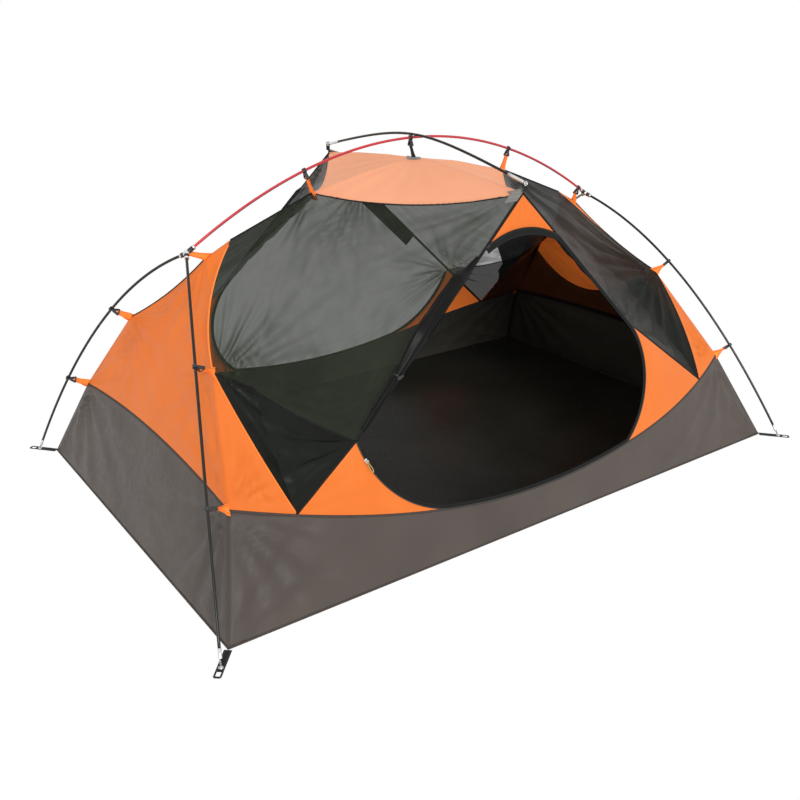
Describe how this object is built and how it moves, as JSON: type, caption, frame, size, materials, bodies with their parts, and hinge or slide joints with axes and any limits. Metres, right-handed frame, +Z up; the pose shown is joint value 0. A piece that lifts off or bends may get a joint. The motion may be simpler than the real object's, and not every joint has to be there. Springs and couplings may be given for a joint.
{
  "type": "ridge-pole tent",
  "caption": "Free-standing two-person tent body on a hubbed pole frame: mesh walls, orange ends, bathtub floor, zipped doors, ridge pole and cross pole.",
  "frame": {"origin": "on the ground under the crossing of the ridge pole and the cross pole, the centre of the rectangular floor", "axes": "+X along the ridge pole to the right seen from the front door, +Y from the front door to the back door, +Z up"},
  "size_m": [2.4006, 1.6332, 1.1354],
  "materials": {
    "floor_cloth": "coated plain-weave floor cloth, near black",
    "tub_cloth": "coated taupe taffeta, soft sheen",
    "orange_cloth": "thin orange ripstop nylon, translucent, soft sheen",
    "mesh_cloth": "fine black no-see-um mesh, see-through",
    "zip_tape": "black coil zip on woven tape",
    "bright_metal": "plated zip slider",
    "pull_cord": "golden braided pull cord",
    "red_pole": "red anodised tube",
    "grey_pole": "dark grey anodised tube",
    "black_pole": "black anodised tube",
    "shock_cord": "braided elastic cord",
    "hub_metal": "machined hub with dark sleeves",
    "black_plastic": "moulded black acetal",
    "black_webbing": "woven black webbing"
  },
  "bodies": {
    "root": {"floor": "floor_cloth", "roof_panel": "orange_cloth", "front_tub_wall": "tub_cloth", "back_tub_wall": "tub_cloth", "front_mesh_left": "mesh_cloth", "back_mesh_right": "mesh_cloth", "front_mesh_right": "mesh_cloth", "back_mesh_left": "mesh_cloth", "front_peak_panel": "orange_cloth", "back_peak_panel": "orange_cloth", "front_corner_left": "orange_cloth", "back_corner_right": "orange_cloth", "front_corner_right": "orange_cloth", "back_corner_left": "orange_cloth", "left_tub_wall": "tub_cloth", "left_end_panel": "orange_cloth", "right_tub_wall": "tub_cloth", "right_end_panel": "orange_cloth", "front_door_roll": "mesh_cloth", "front_zip_track": "zip_tape", "back_zip_track": "zip_tape", "ridge_pole_left": "red_pole", "ridge_pole_right": "red_pole", "brow_pole_front": "grey_pole", "brow_pole_back": "grey_pole", "brow_shock_cord": "shock_cord", "frame_shock_cord": "shock_cord", "hub_left": "hub_metal", "leg_front_left_upper": "black_pole", "leg_front_left_lower": "black_pole", "corner_strap_front_left": "black_webbing", "leg_back_left_upper": "black_pole", "leg_back_left_lower": "black_pole", "corner_strap_back_left": "black_webbing", "hub_right": "hub_metal", "leg_front_right_upper": "black_pole", "leg_front_right_lower": "black_pole", "corner_strap_front_right": "black_webbing", "leg_back_right_upper": "black_pole", "leg_back_right_lower": "black_pole", "corner_strap_back_right": "black_webbing", "brow_tab_front": "black_webbing", "brow_tab_back": "black_webbing"},
    "back_door": {"back_door_panel": "mesh_cloth"},
    "front_slider": {"front_zip_slider": "bright_metal"},
    "front_pull": {"front_zip_pull": "pull_cord"},
    "back_slider": {"back_zip_slider": "bright_metal"},
    "back_pull": {"back_zip_pull": "pull_cord"},
    "clip_roof_left": {"clip_roof_left": "black_plastic"},
    "clip_upper_front_left": {"clip_upper_front_left": "black_plastic"},
    "clip_lower_front_left": {"clip_lower_front_left": "black_plastic"},
    "clip_upper_back_left": {"clip_upper_back_left": "black_plastic"},
    "clip_lower_back_left": {"clip_lower_back_left": "black_plastic"},
    "clip_roof_right": {"clip_roof_right": "black_plastic"},
    "clip_upper_front_right": {"clip_upper_front_right": "black_plastic"},
    "clip_lower_front_right": {"clip_lower_front_right": "black_plastic"},
    "clip_upper_back_right": {"clip_upper_back_right": "black_plastic"},
    "clip_lower_back_right": {"clip_lower_back_right": "black_plastic"},
    "clip_peak_right": {"clip_peak_right": "black_plastic"},
    "clip_centre": {"clip_centre": "black_plastic"}
  },
  "joints": [
    {"name": "back_door_swing", "type": "hinge", "parent": "root", "child": "back_door", "pos_m": [0.667, 0.64629, 0.43392], "axis": [0.748, 0.1185, -0.6531], "range_deg": [0, 100]},
    {"name": "front_zip_travel", "type": "hinge", "parent": "root", "child": "front_slider", "pos_m": [-0.28464, -0.62797, 0.53488], "axis": [0, -0.9839, 0.1785], "range_deg": [0, 46.4]},
    {"name": "front_pull_flip", "type": "hinge", "parent": "front_slider", "child": "front_pull", "pos_m": [-0.64474, -0.66402, 0.37426], "axis": [-0.9096, -0.0742, -0.4088], "range_deg": [0, 150]},
    {"name": "back_zip_travel", "type": "hinge", "parent": "root", "child": "back_slider", "pos_m": [0.013, 0.61143, 0.62609], "axis": [0, -0.9839, -0.1785], "range_deg": [0, 46.6]},
    {"name": "back_pull_flip", "type": "hinge", "parent": "back_slider", "child": "back_pull", "pos_m": [0.11912, 0.56924, 0.89677], "axis": [0.3613, -0.1664, 0.9175], "range_deg": [0, 150]},
    {"name": "clip_roof_left_swivel", "type": "hinge", "parent": "root", "child": "clip_roof_left", "pos_m": [-0.423, 0, 1.05194], "axis": [0.9493, 0, 0.3145], "range_deg": [-20, 20]},
    {"name": "clip_upper_front_left_swivel", "type": "hinge", "parent": "root", "child": "clip_upper_front_left", "pos_m": [-0.97402, -0.32718, 0.62211], "axis": [-0.2905, -0.6837, -0.6694], "range_deg": [-20, 20]},
    {"name": "clip_lower_front_left_swivel", "type": "hinge", "parent": "root", "child": "clip_lower_front_left", "pos_m": [-1.07828, -0.57256, 0.32932], "axis": [-0.239, -0.5624, -0.7915], "range_deg": [-20, 20]},
    {"name": "clip_upper_back_left_swivel", "type": "hinge", "parent": "root", "child": "clip_upper_back_left", "pos_m": [-0.97402, 0.32718, 0.62211], "axis": [-0.2905, 0.6837, -0.6694], "range_deg": [-20, 20]},
    {"name": "clip_lower_back_left_swivel", "type": "hinge", "parent": "root", "child": "clip_lower_back_left", "pos_m": [-1.07828, 0.57256, 0.32932], "axis": [-0.239, 0.5624, -0.7915], "range_deg": [-20, 20]},
    {"name": "clip_roof_right_swivel", "type": "hinge", "parent": "root", "child": "clip_roof_right", "pos_m": [0.423, 0, 1.05194], "axis": [0.9493, 0, -0.3145], "range_deg": [-20, 20]},
    {"name": "clip_upper_front_right_swivel", "type": "hinge", "parent": "root", "child": "clip_upper_front_right", "pos_m": [0.97402, -0.32718, 0.62211], "axis": [0.2905, -0.6837, -0.6694], "range_deg": [-20, 20]},
    {"name": "clip_lower_front_right_swivel", "type": "hinge", "parent": "root", "child": "clip_lower_front_right", "pos_m": [1.07828, -0.57256, 0.32932], "axis": [0.239, -0.5624, -0.7915], "range_deg": [-20, 20]},
    {"name": "clip_upper_back_right_swivel", "type": "hinge", "parent": "root", "child": "clip_upper_back_right", "pos_m": [0.97402, 0.32718, 0.62211], "axis": [0.2905, 0.6837, -0.6694], "range_deg": [-20, 20]},
    {"name": "clip_lower_back_right_swivel", "type": "hinge", "parent": "root", "child": "clip_lower_back_right", "pos_m": [1.07828, 0.57256, 0.32932], "axis": [0.239, 0.5624, -0.7915], "range_deg": [-20, 20]},
    {"name": "clip_peak_right_swivel", "type": "hinge", "parent": "root", "child": "clip_peak_right", "pos_m": [0.796, 0, 0.87391], "axis": [0.8486, 0, -0.529], "range_deg": [-20, 20]},
    {"name": "clip_centre_swivel", "type": "hinge", "parent": "root", "child": "clip_centre", "pos_m": [-0.013, 0, 1.12193], "axis": [0.9999, 0, 0.0102], "range_deg": [-20, 20]}
  ]
}
